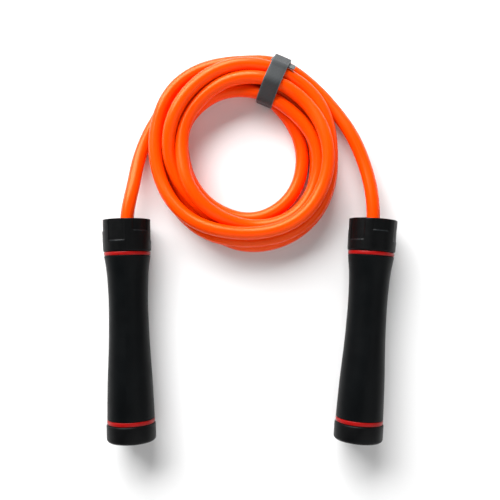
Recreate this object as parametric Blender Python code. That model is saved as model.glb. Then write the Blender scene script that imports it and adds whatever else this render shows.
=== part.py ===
"""A jump rope stored as a coil: a thick plastic cord tied with a strap, and two waisted handles that
turn freely on ball bearings.

Metres, +Z up. The rope lies flat on a surface at z = 0, with both handle axes horizontal. The origin is
on that surface, midway between the handles. Each handle is modelled about its own local Z axis, which
starts at its mouth, where the cord enters, and runs to its butt end."""

import math

import bmesh
import bpy
from mathutils import Matrix, Vector
from mathutils.geometry import interpolate_bezier

# Driving dimensions.
CORD_DIAMETER = 0.009
HANDLE_LENGTH = 0.1485
HANDLE_RADIUS = 0.0165
GAP = 0.0003
BALL_COUNT = 7
TURNED_SEGMENTS = 32
INNER_SEGMENTS = 20
COIL_SEGMENTS = 40

# Where each handle lies: its mouth, and its turn about +Z away from pointing along -Y.
MOUTH_X = 0.0832
MOUTH_Y = 0.0741
HANDLE_YAW = {"left": math.radians(1.35), "right": math.radians(-4.1)}
MOUTH = {
    "left": Vector((-MOUTH_X, MOUTH_Y, HANDLE_RADIUS)),
    "right": Vector((MOUTH_X, MOUTH_Y, HANDLE_RADIUS)),
}
# The turn of each top cap's first long recess about the handle axis, from straight up.
RECESS_TURN = {"left": math.radians(-16), "right": math.radians(-50)}

# Stations along a handle, from its mouth.
TOP_CAP_END = 0.0213
GRIP_START = 0.0243
GRIP_END = 0.1334
BUTT_CAP_START = 0.1366
UPPER_RING_RADIUS = 0.0154
LOWER_RING_RADIUS = 0.0159
BUTT_RADIUS = 0.0164
BUTT_EDGE_RADIUS = 0.0024
BUTT_WALL = 0.0030

# The grip's waist: station and radius.
GRIP_OUTLINE = [
    (GRIP_START, 0.0154),
    (0.0300, 0.01455),
    (0.0360, 0.01385),
    (0.0440, 0.01335),
    (0.0560, 0.01305),
    (0.0680, 0.01320),
    (0.0820, 0.01360),
    (0.0960, 0.01430),
    (0.1080, 0.01495),
    (0.1200, 0.01540),
    (GRIP_END, 0.0158),
]
GRIP_BORE_RADIUS = 0.0095
SPIGOT_RADIUS = 0.0117
SPIGOT_LENGTH = 0.0100

# The top cap's grip recesses.
RECESS_COUNT = 6
RECESS_DEPTH = 0.0007
RECESS_HALF_ANGLE = math.radians(21)
LONG_RECESS = 0.0140
SHORT_RECESS = 0.0075

# The ball bearing, a 12 x 21 x 5 mm size.
BEARING_START = 0.0030
BEARING_WIDTH = 0.0050
BEARING_BORE_RADIUS = 0.0060
BEARING_OUTER_RADIUS = 0.0105
INNER_LAND_RADIUS = 0.0073
OUTER_LAND_RADIUS = 0.0092
BALL_RADIUS = 0.0010
BALL_PITCH_RADIUS = (INNER_LAND_RADIUS + OUTER_LAND_RADIUS) / 2
BEARING_MIDDLE = BEARING_START + BEARING_WIDTH / 2
BEARING_END = BEARING_START + BEARING_WIDTH

# The open spring ring behind the outer race, in its groove in the cap.
RETAINING_RING_INNER = 0.0094
RETAINING_RING_OUTER = 0.0113
RETAINING_RING_THICKNESS = 0.0008
GROOVE_WIDTH = RETAINING_RING_THICKNESS + 2 * GAP
GROOVE_DEPTH = 0.0008
GROOVE_LAND = 0.0010

# The pieces that hold the cord in the bearing.
CORD_BORE_RADIUS = CORD_DIAMETER / 2 + GAP
MOUTH_RADIUS = 0.0070
BUSH_START = 0.0010
FLANGE_RADIUS = 0.0076
FLANGE_THICKNESS = 0.0015
WASHER_THICKNESS = 0.0010
STOP_RADIUS = 0.0086
STOP_LENGTH = 0.0100
SCREW_RADIUS = 0.0015
SCREW_SOCKET_RADIUS = 0.0008
SCREW_SOCKET_DEPTH = 0.0015
CORD_END = 0.0240

# The coil, a ring of the outer shape of six and a half turns lying on the strap.
COIL_CENTRE = Vector((-0.0051, 0.1192, 0.0))
COIL_INNER_RADIUS = 0.0355
COIL_OUTER_RADIUS = 0.0690
COIL_BOTTOM = 0.0016
COIL_TOP = 0.0262
COIL_CORNER_RADIUS = 0.0085

# The tie strap: two layers thick on top, where its tail folds back.
STRAP_WIDTH = 0.0115
STRAP_THICKNESS = 0.0013
STRAP_SIDE_GAP = 0.0010
STRAP_ANGLE = math.radians(67)

# The cord's tails, from near each mouth to where they join the coil.
TAIL_ROUTE = {
    "left": [(-0.0812, 0.0877, 0.0155), (-0.0784, 0.1030, 0.0110), (-0.0782, 0.1072, 0.0100)],
    "right": [
        (0.0820, 0.0931, 0.0150),
        (0.0777, 0.1127, 0.0115),
        (0.0705, 0.1308, 0.0095),
        (0.0667, 0.1378, 0.0095),
    ],
}
TAIL_STRAIGHT_END = 0.0030


def clear_scene():
    for obj in list(bpy.data.objects):
        bpy.data.objects.remove(obj, do_unlink=True)


def make_material(name, colour, roughness, metallic=0.0):
    material = bpy.data.materials.new(name)
    material.use_nodes = True
    shader = material.node_tree.nodes["Principled BSDF"]
    shader.inputs["Base Color"].default_value = (*colour, 1.0)
    shader.inputs["Roughness"].default_value = roughness
    shader.inputs["Metallic"].default_value = metallic
    material.diffuse_color = (*colour, 1.0)
    return material


def add_object(name, mesh, material, parent=None):
    """Links a mesh as a named sub-part, shaded smooth away from its real edges."""
    mesh.materials.append(material)
    mesh.shade_smooth()
    mesh.set_sharp_from_angle(angle=math.radians(35))
    obj = bpy.data.objects.new(name, mesh)
    bpy.context.scene.collection.objects.link(obj)
    obj.parent = parent
    return obj


def finish_mesh(bm, name):
    bmesh.ops.remove_doubles(bm, verts=bm.verts, dist=1e-6)
    bmesh.ops.recalc_face_normals(bm, faces=bm.faces)
    mesh = bpy.data.meshes.new(name)
    bm.to_mesh(mesh)
    bm.free()
    return mesh


def turned_mesh(name, outline, segments):
    """Spins an outline of (station, radius) points once round the local Z axis. The outline closes on
    itself, unless both of its ends lie on the axis."""
    bm = bmesh.new()
    points = [bm.verts.new((0.0, radius, station)) for station, radius in outline]
    ends_on_axis = outline[0][1] == 0 and outline[-1][1] == 0
    following = points[1:] if ends_on_axis else points[1:] + points[:1]
    edges = [bm.edges.new(pair) for pair in zip(points, following)]
    bmesh.ops.spin(
        bm, geom=points + edges, axis=(0, 0, 1), cent=(0, 0, 0), steps=segments, angle=math.tau
    )
    return finish_mesh(bm, name)


def add_turned(name, outline, material, parent, segments=INNER_SEGMENTS):
    return add_object(name, turned_mesh(name, outline, segments), material, parent)


def tube_outline(start, end, inner, outer):
    return [(start, inner), (start, outer), (end, outer), (end, inner)]


def arc(centre, radius, start, end, steps):
    """Points of an arc in the plane of an outline, from one angle in degrees to another."""
    angles = [math.radians(start + (end - start) * i / steps) for i in range(steps + 1)]
    return [(centre[0] + radius * math.cos(a), centre[1] + radius * math.sin(a)) for a in angles]


def smooth_curve(points, samples):
    """Points of one smooth curve through the given points, with the same number on each span."""
    points = [Vector(point) for point in points]
    count = len(points)
    slopes = [points[min(i + 1, count - 1)] - points[max(i - 1, 0)] for i in range(count)]
    slopes = [slope / (1 if i in (0, count - 1) else 2) for i, slope in enumerate(slopes)]
    curve = [points[0]]
    for i in range(count - 1):
        handle_a = points[i] + slopes[i] / 3
        handle_b = points[i + 1] - slopes[i + 1] / 3
        curve += interpolate_bezier(points[i], handle_a, handle_b, points[i + 1], samples + 1)[1:]
    return curve


def add_cutter(name, mesh, target):
    """Cuts a hidden mesh out of a sub-part."""
    cutter = bpy.data.objects.new(name, mesh)
    bpy.context.scene.collection.objects.link(cutter)
    cutter.parent = target.parent
    cutter.hide_render = True
    cutter.display_type = "WIRE"
    modifier = target.modifiers.new(name, "BOOLEAN")
    modifier.operation = "DIFFERENCE"
    modifier.object = cutter


def sector_into(bm, inner, outer, start, end, middle_angle, half_angle, steps=6):
    """Adds a closed block of a ring to bm, between two radii, two stations and two angles."""
    corners = [(inner, start), (outer, start), (outer, end), (inner, end)]
    loops = []
    for i in range(steps + 1):
        angle = middle_angle - half_angle + 2 * half_angle * i / steps
        loops.append([bm.verts.new((r * math.sin(angle), r * math.cos(angle), z)) for r, z in corners])
    for loop, following in zip(loops, loops[1:]):
        for i in range(4):
            j = (i + 1) % 4
            bm.faces.new((loop[i], loop[j], following[j], following[i]))
    bm.faces.new(loops[0])
    bm.faces.new(reversed(loops[-1]))


def recess_cutters(name, turn):
    """The six grip recesses of a top cap, open at its rim, long and short in turn."""
    bm = bmesh.new()
    for i in range(RECESS_COUNT):
        length = LONG_RECESS if i % 2 == 0 else SHORT_RECESS
        middle = turn + math.tau * i / RECESS_COUNT
        floor = HANDLE_RADIUS - RECESS_DEPTH
        sector_into(bm, floor, HANDLE_RADIUS + 0.002, -0.001, length, middle, RECESS_HALF_ANGLE)
    return finish_mesh(bm, name)


def add_handle_empty(side):
    """An empty at the handle's mouth, with its Z axis along the handle and its Y axis up."""
    empty = bpy.data.objects.new(f"handle_axis_{side}", None)
    bpy.context.scene.collection.objects.link(empty)
    empty.location = MOUTH[side]
    empty.rotation_euler = (math.radians(90), 0, HANDLE_YAW[side])
    return empty


def add_top_cap(side, axis, material):
    seat_radius = BEARING_OUTER_RADIUS + GAP
    groove_start = BEARING_END + GAP
    groove_end = groove_start + GROOVE_WIDTH
    land_end = groove_end + GROOVE_LAND
    rim = arc((0.0008, HANDLE_RADIUS - 0.0008), 0.0008, 180, 90, 3)
    outline = [
        (0.0, MOUTH_RADIUS),
        *rim,
        (TOP_CAP_END * 0.45, HANDLE_RADIUS - 0.0003),
        (TOP_CAP_END - 0.0004, HANDLE_RADIUS - 0.0006),
        (TOP_CAP_END, HANDLE_RADIUS - 0.0010),
        (TOP_CAP_END, SPIGOT_RADIUS + GAP),
        (land_end, SPIGOT_RADIUS + GAP),
        (land_end, seat_radius),
        (groove_end, seat_radius),
        (groove_end, seat_radius + GROOVE_DEPTH),
        (groove_start, seat_radius + GROOVE_DEPTH),
        (groove_start, seat_radius),
        (BEARING_START - GAP, seat_radius),
        (BEARING_START - GAP, MOUTH_RADIUS),
    ]
    cap = add_turned(f"top_cap_{side}", outline, material, axis, TURNED_SEGMENTS)
    name = f"recess_cutters_{side}"
    add_cutter(name, recess_cutters(name, RECESS_TURN[side]), cap)


def add_grip(side, axis, material):
    """The waisted grip, a tube with a spigot at each end for the rings and caps."""
    outline = [
        (GRIP_START - GAP - SPIGOT_LENGTH, GRIP_BORE_RADIUS),
        (GRIP_START - GAP - SPIGOT_LENGTH, SPIGOT_RADIUS),
        (GRIP_START, SPIGOT_RADIUS),
        *GRIP_OUTLINE,
        (GRIP_END, SPIGOT_RADIUS),
        (GRIP_END + SPIGOT_LENGTH, SPIGOT_RADIUS),
        (GRIP_END + SPIGOT_LENGTH, GRIP_BORE_RADIUS),
    ]
    add_turned(f"grip_{side}", outline, material, axis, TURNED_SEGMENTS)


def add_accent_rings(side, axis, material):
    inner = SPIGOT_RADIUS + GAP
    upper = tube_outline(TOP_CAP_END + GAP, GRIP_START - GAP, inner, UPPER_RING_RADIUS)
    lower = tube_outline(GRIP_END + GAP, BUTT_CAP_START - GAP, inner, LOWER_RING_RADIUS)
    add_turned(f"upper_ring_{side}", upper, material, axis, TURNED_SEGMENTS)
    add_turned(f"lower_ring_{side}", lower, material, axis, TURNED_SEGMENTS)


def add_butt_cap(side, axis, material):
    edge_centre = (HANDLE_LENGTH - BUTT_EDGE_RADIUS, BUTT_RADIUS - BUTT_EDGE_RADIUS)
    edge = arc(edge_centre, BUTT_EDGE_RADIUS, 90, 0, 4)
    floor = HANDLE_LENGTH - BUTT_WALL
    outline = [
        (floor, 0.0),
        (floor, SPIGOT_RADIUS + GAP),
        (BUTT_CAP_START, SPIGOT_RADIUS + GAP),
        (BUTT_CAP_START, BUTT_RADIUS - 0.0005),
        (BUTT_CAP_START + 0.0005, BUTT_RADIUS - 0.0002),
        *edge,
        (HANDLE_LENGTH, 0.0),
    ]
    add_turned(f"butt_cap_{side}", outline, material, axis, TURNED_SEGMENTS)


def race_outline(groove_arc, bore_or_rim):
    """A race's outline: its grooved land, closed by its plain cylinder at another radius."""
    return [*groove_arc, (BEARING_END, bore_or_rim), (BEARING_START, bore_or_rim)]


def add_bearing(side, axis, steel, cage_material):
    groove_radius = BALL_RADIUS + GAP
    half_opening = math.degrees(math.acos((OUTER_LAND_RADIUS - BALL_PITCH_RADIUS) / groove_radius))
    centre = (BEARING_MIDDLE, BALL_PITCH_RADIUS)
    outer_groove = arc(centre, groove_radius, 90 + half_opening, 90 - half_opening, 3)
    inner_groove = arc(centre, groove_radius, 270 - half_opening, 270 + half_opening, 3)
    outer_land = [(BEARING_START, OUTER_LAND_RADIUS), *outer_groove, (BEARING_END, OUTER_LAND_RADIUS)]
    inner_land = [(BEARING_START, INNER_LAND_RADIUS), *inner_groove, (BEARING_END, INNER_LAND_RADIUS)]
    outer = race_outline(outer_land, BEARING_OUTER_RADIUS)
    inner = race_outline(inner_land, BEARING_BORE_RADIUS)
    add_turned(f"bearing_outer_race_{side}", outer, steel, axis)
    add_turned(f"bearing_inner_race_{side}", inner, steel, axis)
    for i in range(BALL_COUNT):
        angle = math.tau * i / BALL_COUNT
        add_ball(f"ball_{side}_{i + 1}", angle, steel, axis)
    add_ball_cage(side, axis, cage_material)


def ball_place(angle):
    return Vector((math.sin(angle), math.cos(angle), 0)) * BALL_PITCH_RADIUS + Vector((0, 0, BEARING_MIDDLE))


def add_ball(name, angle, material, axis):
    bm = bmesh.new()
    bmesh.ops.create_icosphere(bm, subdivisions=2, radius=BALL_RADIUS)
    ball = add_object(name, finish_mesh(bm, name), material, axis)
    ball.location = ball_place(angle)


def add_ball_cage(side, axis, material):
    """A plain ring between the lands, with a round pocket through it for each ball."""
    half_width = 0.0021
    start = BEARING_MIDDLE - half_width
    end = BEARING_MIDDLE + half_width
    outline = tube_outline(start, end, INNER_LAND_RADIUS + GAP, OUTER_LAND_RADIUS - GAP)
    cage = add_turned(f"ball_cage_{side}", outline, material, axis, BALL_COUNT * 4)
    bm = bmesh.new()
    pocket_radius = BALL_RADIUS + 1.2 * GAP
    for i in range(BALL_COUNT):
        pocket = bmesh.ops.create_cone(
            bm, cap_ends=True, segments=10, radius1=pocket_radius, radius2=pocket_radius, depth=0.004
        )
        angle = math.tau * i / BALL_COUNT
        turn = Matrix.Rotation(-angle, 3, "Z") @ Matrix.Rotation(math.radians(-90), 3, "X")
        bmesh.ops.rotate(bm, verts=pocket["verts"], matrix=turn)
        bmesh.ops.translate(bm, verts=pocket["verts"], vec=ball_place(angle))
    name = f"pocket_cutters_{side}"
    add_cutter(name, finish_mesh(bm, name), cage)


def add_retaining_ring(side, axis, material):
    """An open spring ring that keeps the outer race in the cap."""
    bm = bmesh.new()
    start = BEARING_END + 2 * GAP
    end = start + RETAINING_RING_THICKNESS
    half_angle = math.radians(160)
    sector_into(bm, RETAINING_RING_INNER, RETAINING_RING_OUTER, start, end, 0.0, half_angle, steps=24)
    name = f"retaining_ring_{side}"
    add_object(name, finish_mesh(bm, name), material, axis)


def add_cord_holders(side, axis, bush_material, washer_material, stop_material, steel):
    """The flanged bush in the inner race, the washer behind it, and the collar clamped on the cord."""
    flange_start = BEARING_END + GAP
    flange_end = flange_start + FLANGE_THICKNESS
    bush = [
        (BUSH_START, CORD_BORE_RADIUS),
        (BUSH_START, BEARING_BORE_RADIUS - GAP),
        (flange_start, BEARING_BORE_RADIUS - GAP),
        (flange_start, FLANGE_RADIUS),
        (flange_end, FLANGE_RADIUS),
        (flange_end, CORD_BORE_RADIUS),
    ]
    add_turned(f"swivel_bush_{side}", bush, bush_material, axis)
    washer_start = flange_end + GAP
    washer_end = washer_start + WASHER_THICKNESS
    washer = tube_outline(washer_start, washer_end, CORD_BORE_RADIUS, FLANGE_RADIUS)
    add_turned(f"thrust_washer_{side}", washer, washer_material, axis)
    stop_start = washer_end + GAP
    stop_end = stop_start + STOP_LENGTH
    stop_outline = tube_outline(stop_start, stop_end, CORD_BORE_RADIUS, STOP_RADIUS)
    stop = add_turned(f"cord_stop_{side}", stop_outline, stop_material, axis)
    add_set_screw(side, axis, stop, (stop_start + stop_end) / 2, steel)


def cylinder_up(name, radius, start, end, station, segments):
    """A cylinder along the local Y axis, between two distances from the handle's axis."""
    bm = bmesh.new()
    bmesh.ops.create_cone(
        bm, cap_ends=True, segments=segments, radius1=radius, radius2=radius, depth=end - start
    )
    bmesh.ops.rotate(bm, verts=bm.verts, matrix=Matrix.Rotation(math.radians(-90), 3, "X"))
    bmesh.ops.translate(bm, verts=bm.verts, vec=(0, (start + end) / 2, station))
    return finish_mesh(bm, name)


def add_set_screw(side, axis, stop, station, material):
    """A socket set screw that clamps the cord, in a plain radial hole of the collar."""
    hole = cylinder_up(f"screw_hole_{side}", SCREW_RADIUS + GAP, 0.0, STOP_RADIUS + 0.001, station, 16)
    add_cutter(f"screw_hole_{side}", hole, stop)
    name = f"set_screw_{side}"
    screw_end = STOP_RADIUS - 0.0003
    body = cylinder_up(name, SCREW_RADIUS, CORD_BORE_RADIUS, screw_end, station, 16)
    screw = add_object(name, body, material, axis)
    socket_name = f"socket_cutter_{side}"
    socket_floor = screw_end - SCREW_SOCKET_DEPTH
    socket = cylinder_up(socket_name, SCREW_SOCKET_RADIUS, socket_floor, screw_end + 0.001, station, 6)
    add_cutter(socket_name, socket, screw)


def add_coil(material):
    """The coil as one turned ring, rounded like the bundle of turns that it stands for."""
    corner = COIL_CORNER_RADIUS
    inner = COIL_INNER_RADIUS + corner
    outer = COIL_OUTER_RADIUS - corner
    low = COIL_BOTTOM + corner
    high = COIL_TOP - corner
    outline = [
        *arc((high, outer), corner, 90, 0, 3),
        *arc((high, inner), corner, 0, -90, 3),
        *arc((low, inner), corner, -90, -180, 3),
        *arc((low, outer), corner, 180, 90, 3),
    ]
    coil = add_turned("cord_coil", outline, material, None, COIL_SEGMENTS)
    coil.location = COIL_CENTRE


def loop_round_coil(bm, side_offset, bottom_offset, top_offset):
    """A closed loop round the coil's section, clear of it by the given distances."""
    corner = COIL_CORNER_RADIUS + side_offset
    inner = COIL_INNER_RADIUS - side_offset
    outer = COIL_OUTER_RADIUS + side_offset
    low = COIL_BOTTOM - bottom_offset
    high = COIL_TOP + top_offset
    points = [
        *arc((outer - corner, high - corner), corner, 0, 90, 6),
        *arc((inner + corner, high - corner), corner, 90, 180, 6),
        *arc((inner + corner, low + corner), corner, 180, 270, 6),
        *arc((outer - corner, low + corner), corner, 270, 360, 6),
    ]
    return [bm.verts.new((x, -STRAP_WIDTH / 2, z)) for x, z in points]


def add_tie_strap(material):
    """The strap as one band round the coil, twice as thick on top as elsewhere."""
    bm = bmesh.new()
    skin = GAP + STRAP_THICKNESS
    inner = loop_round_coil(bm, STRAP_SIDE_GAP, GAP, GAP)
    outer = loop_round_coil(bm, STRAP_SIDE_GAP + STRAP_THICKNESS, skin, skin + STRAP_THICKNESS)
    count = len(inner)
    for i in range(count):
        j = (i + 1) % count
        bm.faces.new((inner[i], inner[j], outer[j], outer[i]))
    grown = bmesh.ops.extrude_face_region(bm, geom=bm.faces[:])
    new_points = [item for item in grown["geom"] if isinstance(item, bmesh.types.BMVert)]
    bmesh.ops.translate(bm, verts=new_points, vec=(0, STRAP_WIDTH, 0))
    strap = add_object("tie_strap", finish_mesh(bm, "tie_strap"), material)
    strap.location = COIL_CENTRE
    strap.rotation_euler = (0, 0, STRAP_ANGLE)


def in_handle(side, station):
    """A place on a handle's axis, in the rope's own frame."""
    yaw = HANDLE_YAW[side]
    return MOUTH[side] + Vector((math.sin(yaw), -math.cos(yaw), 0)) * station


def add_tail(side, material):
    """The cord from its cut end inside a handle, through the bearing, to the coil."""
    straight = [in_handle(side, CORD_END), in_handle(side, 0.012), in_handle(side, TAIL_STRAIGHT_END)]
    route = straight + [Vector(point) for point in TAIL_ROUTE[side]]
    points = smooth_curve(route, 2)
    curve = bpy.data.curves.new(f"cord_tail_{side}", "CURVE")
    curve.dimensions = "3D"
    curve.bevel_depth = CORD_DIAMETER / 2
    curve.bevel_resolution = 4
    curve.use_fill_caps = True
    spline = curve.splines.new("POLY")
    spline.points.add(len(points) - 1)
    for spline_point, point in zip(spline.points, points):
        spline_point.co = (*point, 1.0)
    curve.materials.append(material)
    tail = bpy.data.objects.new(f"cord_tail_{side}", curve)
    bpy.context.scene.collection.objects.link(tail)


def add_handle(side, colours):
    axis = add_handle_empty(side)
    add_top_cap(side, axis, colours["cap"])
    add_grip(side, axis, colours["grip"])
    add_accent_rings(side, axis, colours["accent"])
    add_butt_cap(side, axis, colours["cap"])
    add_bearing(side, axis, colours["steel"], colours["nylon"])
    add_retaining_ring(side, axis, colours["steel"])
    add_cord_holders(side, axis, colours["brass"], colours["nylon"], colours["aluminium"], colours["steel"])


def main():
    clear_scene()
    colours = {
        "cord": make_material("cord_orange", (0.95, 0.22, 0.02), 0.3),
        "strap": make_material("strap_grey", (0.09, 0.10, 0.11), 0.85),
        "grip": make_material("grip_black", (0.02, 0.022, 0.024), 0.5),
        "cap": make_material("cap_black", (0.018, 0.019, 0.02), 0.45),
        "accent": make_material("accent_red", (0.6, 0.03, 0.02), 0.4),
        "steel": make_material("bearing_steel", (0.6, 0.6, 0.62), 0.2, 1.0),
        "aluminium": make_material("stop_aluminium", (0.75, 0.76, 0.78), 0.35, 1.0),
        "brass": make_material("bush_brass", (0.78, 0.6, 0.3), 0.3, 1.0),
        "nylon": make_material("nylon_white", (0.8, 0.79, 0.75), 0.5),
    }
    add_coil(colours["cord"])
    add_tie_strap(colours["strap"])
    for side in ("left", "right"):
        add_tail(side, colours["cord"])
        add_handle(side, colours)


main()
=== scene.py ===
"""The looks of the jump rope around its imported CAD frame: the cord wound as it really lies, the woven
tie strap, finely modelled handles, and a material with real surface detail on every piece.

Metres, in the frame of the CAD: the rope lies on the floor at z = 0, +Y points from the handles to the
coil. The cord is settled by a small contact relaxation, which takes about ten seconds."""

import math

import bpy
import numpy as np
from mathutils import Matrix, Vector


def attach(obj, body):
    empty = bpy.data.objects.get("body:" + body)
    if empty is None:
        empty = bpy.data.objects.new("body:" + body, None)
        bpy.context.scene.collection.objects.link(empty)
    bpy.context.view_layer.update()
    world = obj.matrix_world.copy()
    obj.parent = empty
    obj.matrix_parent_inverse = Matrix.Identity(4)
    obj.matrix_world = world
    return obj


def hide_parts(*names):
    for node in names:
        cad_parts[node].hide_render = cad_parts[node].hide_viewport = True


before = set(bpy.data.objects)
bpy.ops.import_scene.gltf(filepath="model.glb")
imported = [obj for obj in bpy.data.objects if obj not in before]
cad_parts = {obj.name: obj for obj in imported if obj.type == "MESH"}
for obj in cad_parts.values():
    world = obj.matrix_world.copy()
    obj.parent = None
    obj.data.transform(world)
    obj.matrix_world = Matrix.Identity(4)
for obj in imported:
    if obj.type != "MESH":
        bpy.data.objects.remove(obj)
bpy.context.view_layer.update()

UP = np.array((0.0, 0.0, 1.0))
SIDES = ("left", "right")

# Cord and handles, as in the CAD. GAP is what touching pieces keep between them.
CORD_DIAMETER = 0.009
CORD_RADIUS = CORD_DIAMETER / 2
GAP = 0.0003
HANDLE_LENGTH = 0.1485
HANDLE_RADIUS = 0.0165
HANDLE_YAW = {"left": math.radians(1.35), "right": math.radians(-4.1)}
MOUTH = {
    "left": np.array((-0.0832, 0.0741, HANDLE_RADIUS)),
    "right": np.array((0.0832, 0.0741, HANDLE_RADIUS)),
}

# The stretch of cord inside a handle, as distances from its mouth, end first.
STRAIGHT_STATIONS = (0.0240, 0.0120, 0.0030)

# The cord's uncoiled ends, from near each mouth to where they join the coil.
TAIL_ROUTE = {
    "left": [
        (-0.0812, 0.0877, 0.0155),
        (-0.0784, 0.1030, 0.0110),
        (-0.0782, 0.1072, 0.0100),
        (-0.0754, 0.1196, 0.0070),
        (-0.0702, 0.1328, 0.0050),
    ],
    "right": [
        (0.0820, 0.0931, 0.0150),
        (0.0777, 0.1127, 0.0115),
        (0.0705, 0.1308, 0.0095),
        (0.0667, 0.1378, 0.0090),
        (0.0609, 0.1464, 0.0075),
    ],
}
# How many of a tail's points, from the mouth, the settling leaves where they are, and how many points into
# the coil its curve looks ahead, so that the two meet smoothly.
TAIL_HELD_POINTS = 3
JOIN_REACH = 6

# The coil: the radius and layer of the cord at each eighth of a turn, anticlockwise from +Y. Layer 0 lies on
# the floor, layer 1 on it, and so on. COIL_START and COIL_LAST give the angle too, in degrees.
COIL_CENTRE = np.array((-0.0051, 0.1192))
LAYER_HEIGHT = 0.0083
LOWEST_LAYER = CORD_RADIUS + 0.0002
COIL_START = (-45, 0.0675, 0.1)
COIL_TURNS = [
    [
        (0.0621, 1.0), (0.0640, 1.0), (0.0590, 1.0), (0.0570, 1.8),
        (0.0545, 2.0), (0.0580, 2.0), (0.0575, 2.0), (0.0535, 1.7),
    ],
    [
        (0.0500, 2.0), (0.0450, 1.7), (0.0415, 1.7), (0.0430, 2.0),
        (0.0485, 1.0), (0.0545, 1.0), (0.0510, 1.0), (0.0435, 1.1),
    ],
    [
        (0.0430, 1.1), (0.0470, 0.3), (0.0425, 0.0), (0.0400, 0.0),
        (0.0435, 0.0), (0.0435, 0.0), (0.0410, 0.0), (0.0410, 0.0),
    ],
    [
        (0.0475, 0.0), (0.0530, 0.0), (0.0550, 0.0), (0.0575, 0.6),
        (0.0590, 1.0), (0.0630, 1.0), (0.0600, 1.0), (0.0620, 1.0),
    ],
    [
        (0.0580, 2.0), (0.0530, 2.0), (0.0490, 1.0), (0.0455, 1.2),
        (0.0520, 0.4), (0.0555, 0.0), (0.0505, 0.0), (0.0500, 0.4),
    ],
    [
        (0.0530, 1.1), (0.0520, 1.1), (0.0510, 0.4), (0.0490, 0.2),
        (0.0610, 0.0), (0.0645, 0.0), (0.0610, 0.0), (0.0585, 0.0),
    ],
]
COIL_LAST = [(0, 0.0575, 0.0), (45, 0.0605, 0.0), (70, 0.0630, 0.0)]
EIGHTH = 45
PLAN_SAMPLES = 12

# The contact relaxation of the coil. Each round pulls the points towards the plan and lets them sink, evens
# the bends a few times, and then pushes touching turns apart a few times. OWN_STRETCH is how much cord lies
# between two points before they can touch, and LISTING_REACH is how near they are when they are listed.
SETTLE_STEP = 0.0050
SETTLE_ROUNDS = 500
ROUNDS_PER_LISTING = 10
BEND_ROUNDS = 3
CONTACT_ROUNDS = 4
OWN_STRETCH = 3.2 * CORD_DIAMETER
LISTING_REACH = CORD_DIAMETER + SETTLE_STEP + 0.003
PLAN_PULL = 0.06
HEIGHT_PULL = 0.03
SINK = 0.00003
BEND_SMOOTHING = 0.06
PUSH_SHARE = 1.3
SMALLEST_GAP = 1e-6
SETTLED_FLOOR_GAP = 0.00005
FAIRING_ROUNDS = 16
FAIRING_SHARES = (0.5, -0.53)

# The tube drawn round the settled line.
TUBE_FLOOR_GAP = 0.00003
TUBE_SIDES = 24

# The tie strap goes round the bundle in this direction from the coil's centre, measured from +X. The turns
# settle STRAP_LIFT higher over a band STRAP_CLEAR_WIDTH wide, and the strap is drawn tight round the cord
# that lies inside a band STRAP_HUG_WIDTH wide.
STRAP_ANGLE = math.radians(67)
STRAP_OUT = np.array((math.cos(STRAP_ANGLE), math.sin(STRAP_ANGLE), 0))
STRAP_BESIDE = np.array((-math.sin(STRAP_ANGLE), math.cos(STRAP_ANGLE), 0))
STRAP_WIDTH = 0.0115
STRAP_THICKNESS = 0.0008
STRAP_GAP = 0.0001
STRAP_LIFT = STRAP_THICKNESS + 0.0004
STRAP_CLEAR_WIDTH = STRAP_WIDTH + 0.0024
STRAP_HUG_WIDTH = 0.0060
HUG_DIRECTIONS = 48
LOOP_STEP = 0.0008

# Its section: places across it, from edge to edge, and how much thinner it gets over the outer share of
# each half.
SECTION_PLACES = (-1, -0.97, -0.9, -0.45, 0, 0.45, 0.9, 0.97, 1)
SECTION_EDGE_SHARE = 0.1
SECTION_EDGE_THINNING = 0.55

# Its head, which stands out to each side of it, and its end, which climbs over the head and comes down
# outside.
HEAD_LENGTH = 0.0080
HEAD_RIGHT = 0.0046
HEAD_LEFT = 0.0010
HEAD_INSET = 0.0050
HEAD_END_TAPER = 0.0006
LAP_GAP = 0.00015
LAP_CLIMB_STEPS = 4
LAP_END_HEIGHT = 0.0080
LAP_END_TAPER = (0.0002, 0.0005, 0.0011)

# A handle's stations, as distances from its mouth, and its radii.
TOP_CAP_END = 0.0213
GRIP_START = 0.0243
GRIP_END = 0.1334
BUTT_CAP_START = 0.1366
UPPER_RING_RADIUS = 0.0154
LOWER_RING_RADIUS = 0.0159
RING_CROWN = 0.0001
BUTT_RADIUS = 0.0164
BUTT_EDGE_RADIUS = 0.0024
BUTT_WALL = 0.0030
GRIP_BORE_RADIUS = 0.0095
SPIGOT_RADIUS = 0.0117
SPIGOT_BORE_RADIUS = SPIGOT_RADIUS + GAP
SPIGOT_LENGTH = 0.0100
MOUTH_RADIUS = 0.0070
BEARING_START = 0.0030
BEARING_END = 0.0080
BEARING_SEAT_RADIUS = 0.0108
LAND_END = BEARING_END + 0.0027
TOP_CAP_TAPER = 0.0006
GRIP_OUTLINE = [
    (GRIP_START, 0.0154),
    (0.0300, 0.01455),
    (0.0360, 0.01385),
    (0.0440, 0.01335),
    (0.0560, 0.01305),
    (0.0680, 0.01320),
    (0.0820, 0.01360),
    (0.0960, 0.01430),
    (0.1080, 0.01495),
    (0.1200, 0.01540),
    (GRIP_END, 0.0158),
]
# The butt cap's rim: distances past its start, and how far under its full radius it is there. Its two flat
# faces end in a small disc of BUTT_MIDDLE_RADIUS, and the outer one has a ring of points at BUTT_FACE_RADIUS.
BUTT_RIM = [(0.0, 0.0005), (0.0003, 0.0002), (0.0010, 0.0)]
BUTT_FACE_RADIUS = 0.0120
BUTT_MIDDLE_RADIUS = 0.0004
SHELL_COLUMNS = 128
TOP_CAP_COLUMNS = 288

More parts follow.
